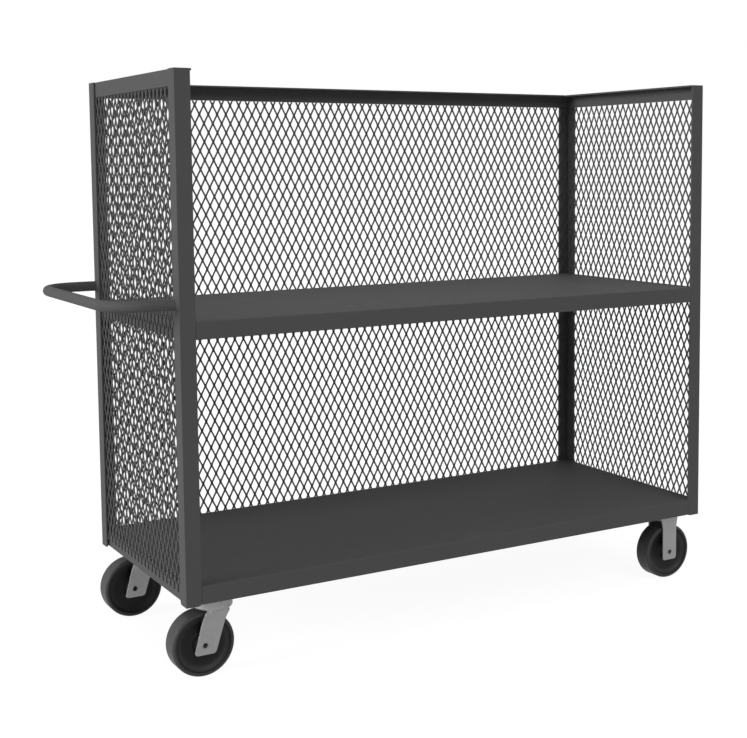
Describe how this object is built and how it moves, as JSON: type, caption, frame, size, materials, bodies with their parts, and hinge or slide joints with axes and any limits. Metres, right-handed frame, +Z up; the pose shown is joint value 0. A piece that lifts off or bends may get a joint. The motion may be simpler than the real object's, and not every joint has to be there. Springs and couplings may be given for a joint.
{
  "type": "mesh shelf trolley",
  "caption": "Steel stock trolley with an open front, expanded mesh on the back and ends, a folded deck and middle shelf, a tubular push handle, and swivel and rigid plate casters.",
  "frame": {"origin": "middle of the whole trolley in plan, handle included, on the floor under its wheels", "axes": "+X along the trolley away from the push handle, +Y from the open front to the mesh back, +Z up"},
  "size_m": [1.6932, 0.619, 1.391],
  "materials": {
    "grey_paint": "satin enamel",
    "zinc_plate": "dull bright zinc",
    "bright_steel": "turned and oiled",
    "black_phenolic": "moulded, semi-matte"
  },
  "bodies": {
    "root": {"post_front_left": "grey_paint", "post_front_right": "grey_paint", "post_rear_left": "grey_paint", "post_rear_right": "grey_paint", "top_rail_left": "grey_paint", "top_rail_rear": "grey_paint", "top_rail_right": "grey_paint", "lower_deck": "grey_paint", "middle_shelf": "grey_paint", "mesh_left": "grey_paint", "mesh_rear": "grey_paint", "mesh_right": "grey_paint", "push_handle": "grey_paint", "caster_channel_left": "grey_paint", "caster_channel_right": "grey_paint", "deck_stiffener": "grey_paint", "swivel_plate_front": "zinc_plate", "swivel_plate_rear": "zinc_plate", "kingpin_front": "bright_steel", "kingpin_rear": "bright_steel", "ball_ring_front": "bright_steel", "ball_ring_rear": "bright_steel", "rigid_fork_front": "zinc_plate", "rigid_fork_rear": "zinc_plate", "axle_rigid_front": "zinc_plate", "axle_rigid_rear": "zinc_plate", "axle_sleeve_rigid_front": "bright_steel", "axle_sleeve_rigid_rear": "bright_steel", "swivel_front_bolt_1": "zinc_plate", "swivel_front_bolt_2": "zinc_plate", "swivel_front_bolt_3": "zinc_plate", "swivel_front_bolt_4": "zinc_plate", "swivel_rear_bolt_1": "zinc_plate", "swivel_rear_bolt_2": "zinc_plate", "swivel_rear_bolt_3": "zinc_plate", "swivel_rear_bolt_4": "zinc_plate", "rigid_front_bolt_1": "zinc_plate", "rigid_front_bolt_2": "zinc_plate", "rigid_front_bolt_3": "zinc_plate", "rigid_front_bolt_4": "zinc_plate", "rigid_rear_bolt_1": "zinc_plate", "rigid_rear_bolt_2": "zinc_plate", "rigid_rear_bolt_3": "zinc_plate", "rigid_rear_bolt_4": "zinc_plate"},
    "swivel_front": {"swivel_fork_front": "zinc_plate", "axle_swivel_front": "zinc_plate", "axle_sleeve_swivel_front": "bright_steel"},
    "swivel_rear": {"swivel_fork_rear": "zinc_plate", "axle_swivel_rear": "zinc_plate", "axle_sleeve_swivel_rear": "bright_steel"},
    "wheel_swivel_front": {"wheel_swivel_front": "black_phenolic", "wheel_bearing_swivel_front": "bright_steel"},
    "wheel_swivel_rear": {"wheel_swivel_rear": "black_phenolic", "wheel_bearing_swivel_rear": "bright_steel"},
    "wheel_rigid_front": {"wheel_rigid_front": "black_phenolic", "wheel_bearing_rigid_front": "bright_steel"},
    "wheel_rigid_rear": {"wheel_rigid_rear": "black_phenolic", "wheel_bearing_rigid_rear": "bright_steel"}
  },
  "joints": [
    {"name": "swivel_front_turn", "type": "hinge", "parent": "root", "child": "swivel_front", "pos_m": [-0.6004, -0.24725, 0.1847], "axis": [0, 0, 1], "continuous": true},
    {"name": "swivel_rear_turn", "type": "hinge", "parent": "root", "child": "swivel_rear", "pos_m": [-0.6004, 0.24725, 0.1847], "axis": [0, 0, 1], "continuous": true},
    {"name": "wheel_swivel_front_spin", "type": "hinge", "parent": "swivel_front", "child": "wheel_swivel_front", "pos_m": [-0.6324, -0.24725, 0.0762], "axis": [0, 1, 0], "continuous": true},
    {"name": "wheel_swivel_rear_spin", "type": "hinge", "parent": "swivel_rear", "child": "wheel_swivel_rear", "pos_m": [-0.6324, 0.24725, 0.0762], "axis": [0, 1, 0], "continuous": true},
    {"name": "wheel_rigid_front_spin", "type": "hinge", "parent": "root", "child": "wheel_rigid_front", "pos_m": [0.7674, -0.24725, 0.0762], "axis": [0, 1, 0], "continuous": true},
    {"name": "wheel_rigid_rear_spin", "type": "hinge", "parent": "root", "child": "wheel_rigid_rear", "pos_m": [0.7674, 0.24725, 0.0762], "axis": [0, 1, 0], "continuous": true}
  ]
}
